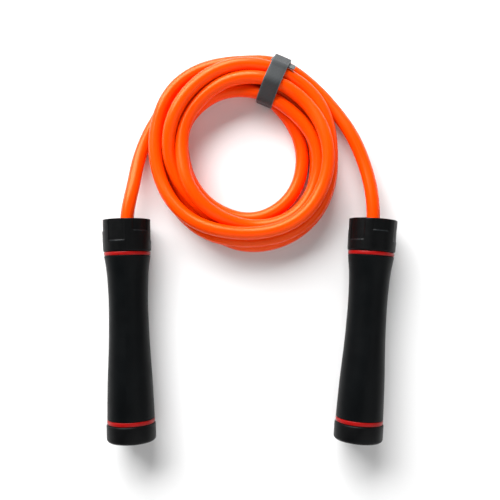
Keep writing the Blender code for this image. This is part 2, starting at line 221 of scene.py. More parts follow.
# The top cap's grip recesses. Their sides and ends slope between INSIDE and OUTSIDE of their stated edges.
RECESS_TURN = {"left": math.radians(-16), "right": math.radians(-50)}
RECESS_COUNT = 6
RECESS_DEPTH = 0.0007
RECESS_HALF_ANGLE = math.radians(21)
RECESS_SIDE_INSIDE = 0.030
RECESS_SIDE_OUTSIDE = 0.012
RECESS_END_INSIDE = 0.0002
RECESS_END_OUTSIDE = 0.0005
LONG_RECESS = 0.0140
SHORT_RECESS = 0.0075

# Where the top cap's outer skin is painted paler: a painted highlight along the lip at each recess's end, and
# rubbed wear at its rim.
SKIN_RADIUS = SPIGOT_RADIUS + 0.0012
LIP_INSIDE = 0.0001
LIP_OUTSIDE = 0.0010
LIP_SIDE_FADE = 0.12
RIM_FADE = (0.0001, 0.0009)
RIM_WEAR = 0.35

# Metals: the material's name, its two colours, its lowest and highest roughness, and how fine its grain is.
METALS = {
    "steel": ("race_steel", (0.50, 0.50, 0.52), (0.62, 0.62, 0.64), 0.16, 0.28, 900.0),
    "ball": ("ball_steel", (0.60, 0.60, 0.62), (0.70, 0.70, 0.72), 0.06, 0.12, 1200.0),
    "spring": ("spring_steel", (0.22, 0.22, 0.24), (0.34, 0.34, 0.36), 0.28, 0.42, 900.0),
    "screw": ("screw_black_steel", (0.06, 0.06, 0.065), (0.11, 0.11, 0.12), 0.3, 0.5, 1100.0),
    "aluminium": ("stop_aluminium", (0.66, 0.67, 0.70), (0.78, 0.79, 0.82), 0.24, 0.4, 800.0),
    "brass": ("bush_brass", (0.60, 0.42, 0.16), (0.74, 0.55, 0.26), 0.2, 0.36, 800.0),
}

# The material of each CAD piece that stays, by how its name starts. The first start that fits is taken.
INTERNAL_LOOKS = {
    "ball_cage": "nylon",
    "ball_": "ball",
    "bearing": "steel",
    "retaining_ring": "spring",
    "swivel_bush": "brass",
    "thrust_washer": "nylon",
    "cord_stop": "aluminium",
    "set_screw": "screw",
}

# The camera, straight above, and its framing.
EYE = (0.0, 0.0370, 0.4625)
SENSOR_WIDTH = 36.0
LENS = 47.65
FRAME_SHIFT_Y = 0.05

# The sky's strength: bright at the sides, and dim where a direction's height is SKY_DIM_FROM or more.
SKY_AT_SIDES = 0.80
SKY_OVERHEAD = 0.06
SKY_DIM_FROM = 0.55

# The softboxes' name, place, width, height and watts, and where they all point.
SOFTBOXES = [
    ("key", (-0.46, 1.05, 0.72), 1.4, 0.9, 52.0),
    ("fill", (0.50, -0.90, 0.90), 2.4, 2.0, 17.0),
]
LIGHT_TARGET = (0.0, 0.06, 0.0)
FLOOR_HALF = 3.0


# Curves and meshes


def smoothstep(value, low, high):
    """A smooth rise from 0 at low to 1 at high."""
    t = np.clip((value - low) / (high - low), 0, 1)
    return t * t * (3 - 2 * t)


def distances_along(points):
    """How far along the line each of its points is."""
    return np.concatenate([[0.0], np.cumsum(np.linalg.norm(np.diff(points, axis=0), axis=1))])


def unit_tangents(points):
    """The line's direction at each of its points."""
    tangent = np.gradient(points, axis=0)
    return tangent / np.linalg.norm(tangent, axis=1)[:, None]


def smooth_through(points, samples):
    """Points along a smooth curve through the given ones, with this many samples to each span."""
    points = np.asarray(points, float)
    spans = np.diff(points, axis=0)
    lengths = np.linalg.norm(spans, axis=1)[:, None]
    rates = spans / lengths
    slopes = np.empty_like(points)
    slopes[1:-1] = (rates[:-1] * lengths[1:] + rates[1:] * lengths[:-1]) / (lengths[:-1] + lengths[1:])
    slopes[0] = rates[0]
    slopes[-1] = rates[-1]
    t = (np.arange(samples) / samples)[:, None]
    start_share = 2 * t**3 - 3 * t**2 + 1
    pieces = []
    for i, length in enumerate(lengths):
        ends = start_share * points[i] + (1 - start_share) * points[i + 1]
        bends = (t**3 - 2 * t**2 + t) * slopes[i] + (t**3 - t**2) * slopes[i + 1]
        pieces.append(ends + bends * length)
    return np.concatenate([*pieces, points[-1:]])


def evenly(points, step):
    """The same line, with points about one step apart."""
    along = distances_along(points[:, :3])
    places = np.linspace(0.0, along[-1], round(along[-1] / step) + 1)
    return np.stack([np.interp(places, along, points[:, i]) for i in range(points.shape[1])], axis=1)


def grid_mesh(name, grid, uv, wrap_rows=False, cap_ends=False, wear_and_gleam=None):
    """A mesh object from rows of points, each a closed ring. uv has one more column than the grid, and one
    more row if the last row joins the first."""
    rows, columns = grid.shape[:2]
    i, j = np.meshgrid(np.arange(rows if wrap_rows else rows - 1), np.arange(columns), indexing="ij")
    i, j = i.reshape(-1), j.reshape(-1)
    k, m = (i + 1) % rows, (j + 1) % columns
    faces = np.stack([i * columns + j, i * columns + m, k * columns + m, k * columns + j], axis=1).tolist()
    face_uvs = np.stack([uv[i, j], uv[i, j + 1], uv[i + 1, j + 1], uv[i + 1, j]], axis=1).reshape(-1, 2)
    if cap_ends:
        for row, turn in ((0, -1), (rows - 1, 1)):
            faces.append(list(range(row * columns, (row + 1) * columns))[::turn])
            face_uvs = np.concatenate([face_uvs, uv[row, :columns][::turn]])
    mesh = bpy.data.meshes.new(name)
    mesh.from_pydata(grid.reshape(-1, 3).tolist(), [], faces)
    layer = mesh.uv_layers.new(name="UVMap")
    layer.data.foreach_set("uv", face_uvs.astype(np.float32).reshape(-1))
    # The mask of rubbed wear and painted highlights, kept as an attribute.
    if wear_and_gleam is not None:
        attribute = mesh.attributes.new("wear_and_gleam", "FLOAT", "POINT")
        attribute.data.foreach_set("value", wear_and_gleam.reshape(-1).astype(np.float32))
    mesh.polygons.foreach_set("use_smooth", [True] * len(faces))
    obj = bpy.data.objects.new(name, mesh)
    bpy.context.scene.collection.objects.link(obj)
    return obj


def outward(obj):
    """Turns the faces round if the closed mesh is inside out."""
    mesh = obj.data
    mesh.calc_loop_triangles()
    points = np.empty(len(mesh.vertices) * 3, np.float32)
    mesh.vertices.foreach_get("co", points)
    corners = np.empty(len(mesh.loop_triangles) * 3, np.int32)
    mesh.loop_triangles.foreach_get("vertices", corners)
    if np.linalg.det(points.reshape(-1, 3)[corners.reshape(-1, 3)].astype(float)).sum() < 0:
        mesh.flip_normals()
    return obj


def in_handle(side, station):
    """A place on a handle's axis."""
    yaw = HANDLE_YAW[side]
    return MOUTH[side] + np.array((math.sin(yaw), -math.cos(yaw), 0)) * station


# Materials. The functions that make nodes take what holds them: a material, or the world.


def new_material(name, **values):
    """A material and its shader, with the given sockets set."""
    material = bpy.data.materials.new(name)
    material.use_nodes = True
    shader = material.node_tree.nodes["Principled BSDF"]
    for key, value in values.items():
        shader.inputs[key.replace("_", " ")].default_value = value
    return material, shader


def node(material, kind, links=None, **values):
    """A new node, with its sockets and settings set. links maps its inputs to sockets that feed them."""
    new = material.node_tree.nodes.new(kind)
    for key, value in values.items():
        if hasattr(new, key):
            setattr(new, key, value)
        else:
            new.inputs[key.replace("_", " ")].default_value = value
    for key, source in (links or {}).items():
        material.node_tree.links.new(source, new.inputs[key])
    return new


def noise(material, place, scale, detail=3.0, stretch=(1, 1, 1)):
    """A noise value. stretch says how much finer its grain is along each axis."""
    mapping = node(material, "ShaderNodeMapping", {"Vector": place}, Scale=stretch)
    links = {"Vector": mapping.outputs[0]}
    return node(material, "ShaderNodeTexNoise", links, Scale=scale, Detail=detail).outputs["Fac"]


def wave(material, place, scale, **values):
    """A band pattern."""
    return node(material, "ShaderNodeTexWave", {"Vector": place}, Scale=scale, **values).outputs["Fac"]


def spread(material, source, low, high, start=0.3, end=0.7):
    """Maps a value from the range start to end to the range low to high, and no further."""
    ramp = node(material, "ShaderNodeMapRange", {"Value": source})
    for key, value in (("From Min", start), ("From Max", end), ("To Min", low), ("To Max", high)):
        ramp.inputs[key].default_value = value
    return ramp.outputs[0]


def mix(material, factor, first, second):
    """A mix of two colours, each a value or a socket."""
    new = node(material, "ShaderNodeMix", data_type="RGBA")
    material.node_tree.links.new(factor, new.inputs["Factor"])
    for place, colour in ((6, first), (7, second)):
        if isinstance(colour, tuple):
            new.inputs[place].default_value = (*colour, 1)
        else:
            material.node_tree.links.new(colour, new.inputs[place])
    return new.outputs[2]


def combine(material, operation, *sources):
    """The result of one sum on sockets and numbers."""
    new = node(material, "ShaderNodeMath", operation=operation)
    for place, source in enumerate(sources):
        if isinstance(source, (int, float)):
            new.inputs[place].default_value = source
        else:
            material.node_tree.links.new(source, new.inputs[place])
    return new.outputs[0]


def connect(material, shader, key, source):
    """Feeds a socket of the shader."""
    material.node_tree.links.new(source, shader.inputs[key])


def add_bump(material, shader, height, distance, strength):
    """Relief on the surface, this many metres deep."""
    bump = node(material, "ShaderNodeBump", {"Height": height}, Distance=distance, Strength=strength)
    connect(material, shader, "Normal", bump.outputs[0])


def uv_place(material):
    """A place on the surface, in metres along and across it."""
    return node(material, "ShaderNodeTexCoord").outputs["UV"]


def object_place(material):
    """A place in the object's own axes."""
    return node(material, "ShaderNodeTexCoord").outputs["Object"]


def cord_material():
    """Glossy extruded PVC: faint lines along it, slow colour variation, and a little light inside."""
    material, shader = new_material("cord_pvc", Subsurface_Weight=0.08, Subsurface_Scale=0.003, IOR=1.40)
    shader.inputs["Subsurface Radius"].default_value = (1.0, 0.25, 0.08)
    shader.inputs["Specular Tint"].default_value = (1.0, 0.66, 0.28, 1)
    place = uv_place(material)
    cloud = noise(material, place, 12.0)
    colour = mix(material, spread(material, cloud, 0, 1), (0.88, 0.053, 0.0), (0.94, 0.066, 0.0))
    lines = noise(material, place, 1.0, detail=2.0, stretch=(9, 1500, 1))
    colour = mix(material, spread(material, lines, 0, 0.3), colour, (0.80, 0.044, 0.0))
    connect(material, shader, "Base Color", colour)
    scuffs = noise(material, place, 1.0, detail=5.0, stretch=(25, 420, 1))
    connect(material, shader, "Roughness", spread(material, scuffs, 0.26, 0.30, start=0.35, end=0.8))
    grain = noise(material, place, 2600.0, detail=2.0)
    height = combine(material, "ADD", lines, combine(material, "MULTIPLY", grain, 0.5))
    add_bump(material, shader, height, 0.000002, 0.5)
    return material


def strap_material():
    """Woven tape: fine diagonal twill, a rolled lighter edge, and fuzz."""
    material, shader = new_material(
        "strap_weave",
        Sheen_Weight=0.15,
        Sheen_Roughness=0.4,
        Sheen_Tint=(0.75, 0.8, 0.85, 1),
        Roughness=0.75,
    )
    place = uv_place(material)
    turn = (0, 0, math.radians(50))
    twill = node(material, "ShaderNodeMapping", {"Vector": place}, Rotation=turn).outputs[0]
    ribs = wave(material, twill, 420.0, Distortion=0.8, Detail=1.0)
    across = wave(material, place, 260.0, Distortion=0.5, bands_direction="Y")
    fuzz = noise(material, place, 2400.0, detail=4.0)
    width_place = node(material, "ShaderNodeSeparateXYZ", {"Vector": place}).outputs["Y"]
    half = STRAP_WIDTH / 2
    from_middle = combine(material, "ABSOLUTE", combine(material, "SUBTRACT", width_place, half))
    edge = spread(material, from_middle, 0, 1, start=half - 0.0007, end=half - 0.0003)
    ribbed = spread(material, ribs, 0, 1, start=0.2, end=0.8)
    cloth = mix(material, ribbed, (0.003, 0.0038, 0.0042), (0.030, 0.035, 0.038))
    cloth = mix(material, spread(material, fuzz, 0, 0.45), cloth, (0.030, 0.034, 0.036))
    colour = mix(material, combine(material, "MULTIPLY", edge, 0.6), cloth, (0.10, 0.11, 0.11))
    connect(material, shader, "Base Color", colour)
    height = combine(material, "ADD", ribs, combine(material, "MULTIPLY", across, 0.5))
    height = combine(material, "ADD", height, combine(material, "MULTIPLY", fuzz, 0.8))
    add_bump(material, shader, height, 0.00012, 0.8)
    return material


def grip_material():
    """Black soft-touch rubber paint: a fine velvety grain and faint handling marks."""
    material, shader = new_material("grip_soft_touch", Specular_IOR_Level=0.08)
    place = uv_place(material)
    marks = spread(material, noise(material, place, 55.0, detail=5.0), 0, 1)
    colour = mix(material, marks, (0.0012, 0.0016, 0.0019), (0.0021, 0.0027, 0.0031))
    connect(material, shader, "Base Color", colour)
    smears = noise(material, place, 1.0, detail=4.0, stretch=(90, 24, 1))
    connect(material, shader, "Roughness", spread(material, smears, 0.36, 0.46))
    grain = noise(material, place, 3200.0)
    add_bump(material, shader, grain, 0.00004, 0.7)
    return material


def cap_material():
    """Black moulded nylon: spark-eroded grain, and paler where an attribute says: rubbed wear at the rim, and
    a painted highlight along the lip at each recess's end.
    """
    material, shader = new_material("cap_moulded", Specular_IOR_Level=0.1)
    place = uv_place(material)
    rubbed_and_gleam = node(material, "ShaderNodeAttribute", attribute_name="wear_and_gleam").outputs["Fac"]
    patches = noise(material, place, 240.0, detail=4.0)
    wear_and_gleam_share = combine(material, "MULTIPLY", rubbed_and_gleam, spread(material, patches, 0.35, 1.0))
    # Paler colour: rubbed wear at the rim, and a painted highlight along each recess's lip.
    colour = mix(material, wear_and_gleam_share, (0.0018, 0.0020, 0.0022), (0.018, 0.021, 0.023))
    connect(material, shader, "Base Color", colour)
    polished = combine(material, "MULTIPLY", rubbed_and_gleam, 0.14)
    roughness = combine(material, "SUBTRACT", spread(material, patches, 0.34, 0.44), polished)
    connect(material, shader, "Roughness", roughness)
    grain = noise(material, place, 2300.0)
    add_bump(material, shader, grain, 0.00005, 0.6)
    return material


def accent_material():
    """Red moulded plastic, with a slight gloss and fine turning lines."""
    material, shader = new_material("accent_red", Specular_IOR_Level=0.2)
    place = uv_place(material)
    cloud = noise(material, place, 160.0, detail=4.0)
    colour = mix(material, spread(material, cloud, 0, 1), (0.22, 0.0012, 0.0010), (0.28, 0.0025, 0.0020))
    connect(material, shader, "Base Color", colour)
    connect(material, shader, "Roughness", spread(material, cloud, 0.30, 0.42))
    lines = noise(material, place, 1.0, detail=2.0, stretch=(20, 5200, 1))
    add_bump(material, shader, lines, 0.00002, 0.5)
    return material


def metal_material(name, dark, light, low, high, scale):
    """Machined metal: grain drawn out across it, cloudy roughness and small specks."""
    material, shader = new_material(name, Metallic=1.0)
    place = object_place(material)
    streaks = noise(material, place, scale, stretch=(1, 9, 1))
    specks = noise(material, place, scale * 3, detail=4.0)
    connect(material, shader, "Base Color", mix(material, spread(material, specks, 0, 1), dark, light))
    connect(material, shader, "Roughness", spread(material, streaks, low, high))
    add_bump(material, shader, combine(material, "ADD", streaks, specks), 0.00001, 0.5)
    return material


def nylon_material():
    """Natural moulded nylon, slightly waxy."""
    material, shader = new_material("nylon_natural", Subsurface_Weight=0.15, Subsurface_Scale=0.001)
    place = object_place(material)
    cloud = noise(material, place, 700.0, detail=4.0)
    colour = mix(material, spread(material, cloud, 0, 1), (0.62, 0.60, 0.53), (0.74, 0.73, 0.68))
    connect(material, shader, "Base Color", colour)
    connect(material, shader, "Roughness", spread(material, cloud, 0.38, 0.55))
    add_bump(material, shader, noise(material, place, 3000.0), 0.00002, 0.5)
    return material


def floor_material():
    """Pale matt paper with a faint grain."""
    material, shader = new_material("floor_paper", Roughness=0.9)
    place = object_place(material)
    cloud = spread(material, noise(material, place, 3.0, detail=4.0), 0, 1)
    connect(material, shader, "Base Color", mix(material, cloud, (0.77,) * 3, (0.79,) * 3))
    add_bump(material, shader, noise(material, place, 900.0), 0.00005, 0.3)
    return material


# The cord


def coil_plan():
    """The coil's intended line before it settles: x, y, z at every few degrees."""
    rows = [COIL_START]
    for turn, stations in enumerate(COIL_TURNS):
        rows += [(360 * turn + EIGHTH * i, radius, layer) for i, (radius, layer) in enumerate(stations)]
    rows += [(360 * len(COIL_TURNS) + angle, radius, layer) for angle, radius, layer in COIL_LAST]
    fine = smooth_through(rows, PLAN_SAMPLES)
    angle = np.radians(fine[:, 0] + 90)
    x = COIL_CENTRE[0] + fine[:, 1] * np.cos(angle)
    y = COIL_CENTRE[1] + fine[:, 1] * np.sin(angle)
    return np.stack([x, y, LOWEST_LAYER + fine[:, 2] * LAYER_HEIGHT], axis=1)


def cord_plan():
    """The cord's intended line from inside the right handle to inside the left one, and which of its points
    are held."""
    coil = coil_plan()
    ends = {}
    for side in SIDES:
        straight = [in_handle(side, station) for station in STRAIGHT_STATIONS]
        ends[side] = straight + [np.array(point) for point in TAIL_ROUTE[side]]
    first = smooth_through([*ends["right"], coil[0], coil[JOIN_REACH]], PLAN_SAMPLES)[:-PLAN_SAMPLES]
    last = smooth_through([coil[-1 - JOIN_REACH], coil[-1], *ends["left"][::-1]], PLAN_SAMPLES)[PLAN_SAMPLES:]
    line = np.concatenate([first, coil[1:-1], last])
    held = np.zeros(len(line))
    held_count = PLAN_SAMPLES * (len(STRAIGHT_STATIONS) - 1 + TAIL_HELD_POINTS) + 1
    held[:held_count] = 1
    held[-held_count:] = 1
    even = evenly(np.column_stack([line, held]), SETTLE_STEP)
    return even[:, :3], even[:, 3] > 0.5


def in_strap_band(points, width):
    """Which points lie in the strap's path, in a band this wide."""
    offset = points[:, :2] - COIL_CENTRE
    along = offset[:, 0] * STRAP_OUT[0] + offset[:, 1] * STRAP_OUT[1]
    across = offset[:, 1] * STRAP_OUT[0] - offset[:, 0] * STRAP_OUT[1]
    return (along > 0) & (np.abs(across) < width / 2)


def nearest_on_segments(points, i, j):
    """For each pair, how far point i is from the segment that starts at j, the way from that segment to it,
    and the share of the segment at which it is nearest."""
    start = points[j]
    run = points[j + 1] - start
    share = np.clip(((points[i] - start) * run).sum(1) / (run * run).sum(1), 0, 1)[:, None]
    away = points[i] - start - share * run
    return np.linalg.norm(away, axis=1), away, share


def push_apart(points, i, j, free):
    """Moves touching turns of the cord away from each other."""
    gap, away, share = nearest_on_segments(points, i, j)
    touching = gap < CORD_DIAMETER
    i, j, gap, away, share = i[touching], j[touching], gap[touching], away[touching], share[touching]
    push = away * ((CORD_DIAMETER - gap) / np.maximum(gap, SMALLEST_GAP))[:, None] / 2
    moves = np.zeros_like(points)
    counts = np.zeros(len(points))
    np.add.at(moves, i, push)
    np.add.at(counts, i, 1)
    for end, part in ((j, 1 - share), (j + 1, share)):
        np.add.at(moves, end, -push * part)
        np.add.at(counts, end, part[:, 0])
    moves /= np.maximum(counts, 1)[:, None]
    points[free] += PUSH_SHARE * moves[free]


def settle(plan, held):
    """Lets the cord sink under gravity, stay a diameter from itself, and keep smooth bends."""
    points = plan.copy()
    free = ~held
    order = np.arange(len(points))
    apart = np.abs(order[:, None] - order[None, :]) >= round(OWN_STRETCH / SETTLE_STEP)
    for round_number in range(SETTLE_ROUNDS):
        if round_number % ROUNDS_PER_LISTING == 0:
            distance = np.linalg.norm(points[:, None] - points[None, :], axis=2)
            near = apart & (distance < LISTING_REACH)
            i, j = np.nonzero((near[:, :-1] | near[:, 1:]) & apart[:, :-1])
        offset = plan - points
        offset[:, :2] *= PLAN_PULL
        offset[:, 2] = HEIGHT_PULL * offset[:, 2] - SINK
        points[free] += offset[free]
        for _ in range(BEND_ROUNDS):
            strain = points - plan
            curve = np.zeros_like(strain)
            curve[1:-1] = strain[2:] - 2 * strain[1:-1] + strain[:-2]
            stiffness = np.zeros_like(strain)
            stiffness[2:-2] = curve[3:-1] - 2 * curve[2:-2] + curve[1:-3]
            points[free] -= BEND_SMOOTHING * stiffness[free]
        for _ in range(CONTACT_ROUNDS):
            push_apart(points, i, j, free)
            lift = np.where(in_strap_band(points, STRAP_CLEAR_WIDTH), STRAP_LIFT, 0)
            floor = CORD_RADIUS + SETTLED_FLOOR_GAP + lift
            points[free, 2] = np.maximum(points[free, 2], floor[free])
    return points


def faired(points):
    """The line without its small unevenness: each round smooths it, then undoes the shrinkage."""
    for _ in range(FAIRING_ROUNDS):
        for share in FAIRING_SHARES:
            points[2:-2] += share * (0.5 * (points[1:-3] + points[3:-1]) - points[2:-2])
    return points


def add_cord(material):
    """The cord as a tube along its settled line. Returns that line."""
    line = smooth_through(faired(settle(*cord_plan())), 2)
    line[:, 2] = np.maximum(line[:, 2], CORD_RADIUS + TUBE_FLOOR_GAP)
    tangent = unit_tangents(line)
    up = UP - tangent * tangent[:, 2:]
    up /= np.linalg.norm(up, axis=1)[:, None]
    beside = np.cross(tangent, up)
    around = np.linspace(0, math.tau, TUBE_SIDES, endpoint=False)[None, :, None]
    rings = line[:, None] + CORD_RADIUS * (np.cos(around) * up[:, None] + np.sin(around) * beside[:, None])
    along = distances_along(line)
    across = np.linspace(0, math.pi * CORD_DIAMETER, TUBE_SIDES + 1)
    uv = np.stack(np.meshgrid(along, across, indexing="ij"), axis=2)
    cord = outward(grid_mesh("cord", rings, uv, cap_ends=True))
    cord.data.materials.append(material)
    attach(cord, "rope")
    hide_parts("cord_coil", "cord_tail_left", "cord_tail_right")
    return line


# The tie strap


def turns_left(first, second, third):
    """Whether the way through three points in a plane bends to the left."""
    return np.cross(np.subtract(second, first), np.subtract(third, first)) > 0


def hull(points):
    """The convex outline of points in a plane, anticlockwise."""
    ordered = sorted(map(tuple, points))
    outline = []
    for run in (ordered, ordered[::-1]):
        chain = []
        for point in run:
            while len(chain) > 1 and not turns_left(chain[-2], chain[-1], point):
                chain.pop()
            chain.append(point)
        outline += chain[:-1]
    return np.array(outline)


def strap_loop(line):
    """The strap's middle line, once round the bundle: distance from the coil's centre, and height."""
    inside = line[in_strap_band(line, STRAP_HUG_WIDTH)]
    along = (inside[:, :2] - COIL_CENTRE) @ STRAP_OUT[:2]
    reach = CORD_RADIUS + STRAP_THICKNESS / 2 + STRAP_GAP
    angles = np.linspace(0, math.tau, HUG_DIRECTIONS, endpoint=False)
    outer = along[:, None] + reach * np.cos(angles)
    height = inside[:, 2:] + reach * np.sin(angles)
    outline = hull(np.stack([outer, height], axis=2).reshape(-1, 2))
    outline[:, 1] = np.maximum(outline[:, 1], STRAP_THICKNESS / 2 + STRAP_GAP)
    return evenly(np.concatenate([outline, outline[:1]]), LOOP_STEP)


def right_normals(path):
    """The direction to the right of a path in the strap's plane, at each of its points."""
    tangent = unit_tangents(path)
    return np.stack([tangent[:, 1], -tangent[:, 0]], axis=1)


def outward_normals(path, centre):
    """The direction away from the path's centre and square to the path, at each of its points."""
    normal = right_normals(path)
    return normal if ((path - centre) * normal).sum() > 0 else -normal


def strap_section():
    """The band's section as a closed ring: the place across it, and the height, as shares of half its width
    and of its thickness."""
    upper = []
    for place in SECTION_PLACES:
        past = max(0, abs(place) - (1 - SECTION_EDGE_SHARE))
        upper.append((place, 0.5 * (1 - SECTION_EDGE_THINNING * past / SECTION_EDGE_SHARE)))
    return np.array(upper + [(place, -height) for place, height in upper[::-1]])


def strip(name, path, half_widths, centre_offset):
    """A band of cloth along a path in the strap's plane, with thinner edges. Returns it and its length."""
    normal = right_normals(path)
    section = strap_section()
    width = half_widths[:, None] * section[None, :, 0] + centre_offset
    lift = STRAP_THICKNESS * section[None, :, 1]
    radial = path[:, :1] + normal[:, :1] * lift
    height = path[:, 1:] + normal[:, 1:] * lift
    grid = np.array((*COIL_CENTRE, 0)) + radial[:, :, None] * STRAP_OUT
    grid = grid + height[:, :, None] * UP + width[:, :, None] * STRAP_BESIDE
    run = distances_along(path)
    ring_places = np.append(section[:, 0], section[0, 0])
    v = STRAP_WIDTH / 2 + half_widths[:, None] * ring_places[None, :]
    uv = np.stack([np.repeat(run[:, None], v.shape[1], axis=1), v], axis=2)
    return outward(grid_mesh(name, grid, uv, cap_ends=True)), float(run[-1])


def add_strap(line, material):
    """The strap once round the bundle and down over its own head, which stands out at one side."""
    loop = strap_loop(line)[:-1]
    centre = loop.mean(axis=0)
    top = loop[:, 1].max()
    shoulder = np.hypot(loop[:, 0] - (loop[:, 0].max() - HEAD_INSET), loop[:, 1] - top)
    # Clockwise from the shoulder: down the outside, under the bundle, up the inside and over the top.
    once = np.roll(loop, -int(shoulder.argmin()), axis=0)[::-1]
    head_count = round(HEAD_LENGTH / LOOP_STEP)
    over = int(np.argmax(once[:, 1] < LAP_END_HEIGHT))
    path = np.concatenate([once[head_count + 1 :], once[:over]])
    lift = np.zeros(len(path))
    lift[-over:] = STRAP_THICKNESS + LAP_GAP
    climb = smoothstep(np.arange(LAP_CLIMB_STEPS), -1, LAP_CLIMB_STEPS)
    lift[-over - LAP_CLIMB_STEPS : -over] = lift[-1] * climb
    path = path + outward_normals(path, centre) * lift[:, None]
    half = np.full(len(path), STRAP_WIDTH / 2)
    half[-len(LAP_END_TAPER) :] -= LAP_END_TAPER
    strap, length = strip("tie_strap_woven", path, half, 0.0)
    head_half = np.full(head_count, (STRAP_WIDTH + HEAD_RIGHT + HEAD_LEFT) / 2)
    head_half[[0, -1]] -= HEAD_END_TAPER
    head_offset = (HEAD_LEFT - HEAD_RIGHT) / 2
    head, _ = strip("tie_strap_head", once[:head_count], head_half, head_offset)
    for piece in (strap, head):
        piece.data.materials.append(material)
        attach(piece, "rope")
    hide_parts("tie_strap")


# The handles


def turned(name, side, outline, columns=SHELL_COLUMNS, closed=True, recess=None):
    """A piece turned about a handle's axis. recess, if given, cuts its radii and gives the mask of its rubbed
    wear and painted highlights.
    """
    yaw = HANDLE_YAW[side]
    along = np.array((math.sin(yaw), -math.cos(yaw), 0))
    beside = np.array((math.cos(yaw), math.sin(yaw), 0))
    outline = np.asarray(outline, float)
    station = outline[:, :1]
    angle = np.linspace(0, math.tau, columns, endpoint=False)[None, :]
    radius = np.repeat(outline[:, 1:], columns, axis=1)
    wear_and_gleam = None
    if recess:
        radius, wear_and_gleam = recess(station, radius, angle)
    direction = np.sin(angle)[..., None] * beside + np.cos(angle)[..., None] * UP
    grid = MOUTH[side] + station[..., None] * along + radius[..., None] * direction
    run = distances_along(np.concatenate([outline, outline[:1]]) if closed else outline)
    around = np.linspace(0, math.tau * HANDLE_RADIUS, columns + 1)
    uv = np.stack(np.meshgrid(run, around, indexing="ij"), axis=2)
    piece = grid_mesh(f"{name}_{side}", grid, uv, wrap_rows=closed, cap_ends=not closed, wear_and_gleam=wear_and_gleam)
    return outward(piece)


def rounded(corners, radius=0.0003, steps=3, longest=0.0006):
    """A closed outline with its corners rounded and its long runs divided."""
    corners = np.asarray(corners, float)
    count = len(corners)
    result = []
    for i in range(count):
        before, here, after = corners[i - 1], corners[i], corners[(i + 1) % count]
        to_before, to_after = before - here, after - here
        room = min(np.linalg.norm(to_before), np.linalg.norm(to_after)) * 0.45
        cut = min(radius, room)
        a = here + to_before / np.linalg.norm(to_before) * cut
        b = here + to_after / np.linalg.norm(to_after) * cut
        for t in np.linspace(0, 1, steps + 1):
            result.append((1 - t) ** 2 * a + 2 * t * (1 - t) * here + t**2 * b)
    dense = []
    for i, point in enumerate(result):
        following = result[(i + 1) % len(result)]
        parts = max(1, int(np.linalg.norm(following - point) / longest))
        dense += [point + (following - point) * k / parts for k in range(parts)]
    return np.array(dense)


def recesses(turn):
    """The six shallow grip recesses of a top cap, open at its rim, long and short in turn. They come as a
    function that returns the cut radii and a mask of rubbed wear at the rim and of a painted highlight along
    each recess's lip."""

    def cut(station, radius, angle):
        depth = np.zeros_like(radius)
        rubbed_and_gleam = np.zeros_like(radius)
        for i in range(RECESS_COUNT):
            length = LONG_RECESS if i % 2 == 0 else SHORT_RECESS
            middle = turn + math.tau * i / RECESS_COUNT
            off = np.abs((angle - middle + math.pi) % math.tau - math.pi)
            side_start = RECESS_HALF_ANGLE - RECESS_SIDE_INSIDE
            sides = 1 - smoothstep(off, side_start, RECESS_HALF_ANGLE + RECESS_SIDE_OUTSIDE)
            top = length + RECESS_END_OUTSIDE
            end = 1 - smoothstep(station, length - RECESS_END_INSIDE, top)
            depth = np.maximum(depth, sides * end)
            # A painted highlight along the lip at the recess's end.
            lip_gleam = smoothstep(station, length - LIP_INSIDE, top)
            lip_gleam = lip_gleam * (1 - smoothstep(station, top, length + LIP_OUTSIDE))
            lip_gleam_sides = 1 - smoothstep(off, RECESS_HALF_ANGLE - LIP_SIDE_FADE, RECESS_HALF_ANGLE)
            rubbed_and_gleam = np.maximum(rubbed_and_gleam, lip_gleam * lip_gleam_sides)
        over = np.maximum(radius - (HANDLE_RADIUS - RECESS_DEPTH), 0)
        outside = radius > SKIN_RADIUS
        rim = (1 - smoothstep(station, *RIM_FADE)) * outside * RIM_WEAR
        return radius - over * depth, np.maximum(rubbed_and_gleam * outside, rim)

    return cut


def top_cap_outline():
    """The top cap in section: the shell, and the land inside it that the bearing sits in."""
    corners = [
        (0.0, MOUTH_RADIUS),
        (0.0, HANDLE_RADIUS),
        (TOP_CAP_END * 0.45, HANDLE_RADIUS - TOP_CAP_TAPER / 2),
        (TOP_CAP_END, HANDLE_RADIUS - TOP_CAP_TAPER),
        (TOP_CAP_END, SPIGOT_BORE_RADIUS),
        (LAND_END, SPIGOT_BORE_RADIUS),
        (LAND_END, BEARING_SEAT_RADIUS),
        (BEARING_START - GAP, BEARING_SEAT_RADIUS),
        (BEARING_START - GAP, MOUTH_RADIUS),
    ]
    return rounded(corners, radius=0.0008, steps=4, longest=0.0003)


def grip_outline():
    """The grip in section: the waist, and the spigot at each end that the caps go over."""
    corners = [
        (GRIP_START - GAP - SPIGOT_LENGTH, GRIP_BORE_RADIUS),
        (GRIP_START - GAP - SPIGOT_LENGTH, SPIGOT_RADIUS),
        (GRIP_START, SPIGOT_RADIUS),
        *smooth_through(GRIP_OUTLINE, 8),
        (GRIP_END, SPIGOT_RADIUS),
        (GRIP_END + SPIGOT_LENGTH, SPIGOT_RADIUS),
        (GRIP_END + SPIGOT_LENGTH, GRIP_BORE_RADIUS),
    ]
    return rounded(corners, radius=0.00035, longest=0.0015)


def ring_outline(start, end, radius):
    """An accent ring in section, slightly crowned."""
    side_radius = radius - RING_CROWN
    corners = [
        (start, SPIGOT_BORE_RADIUS),
        (start, side_radius),
        ((start + end) / 2, radius),
        (end, side_radius),
        (end, SPIGOT_BORE_RADIUS),
    ]
    return rounded(corners)


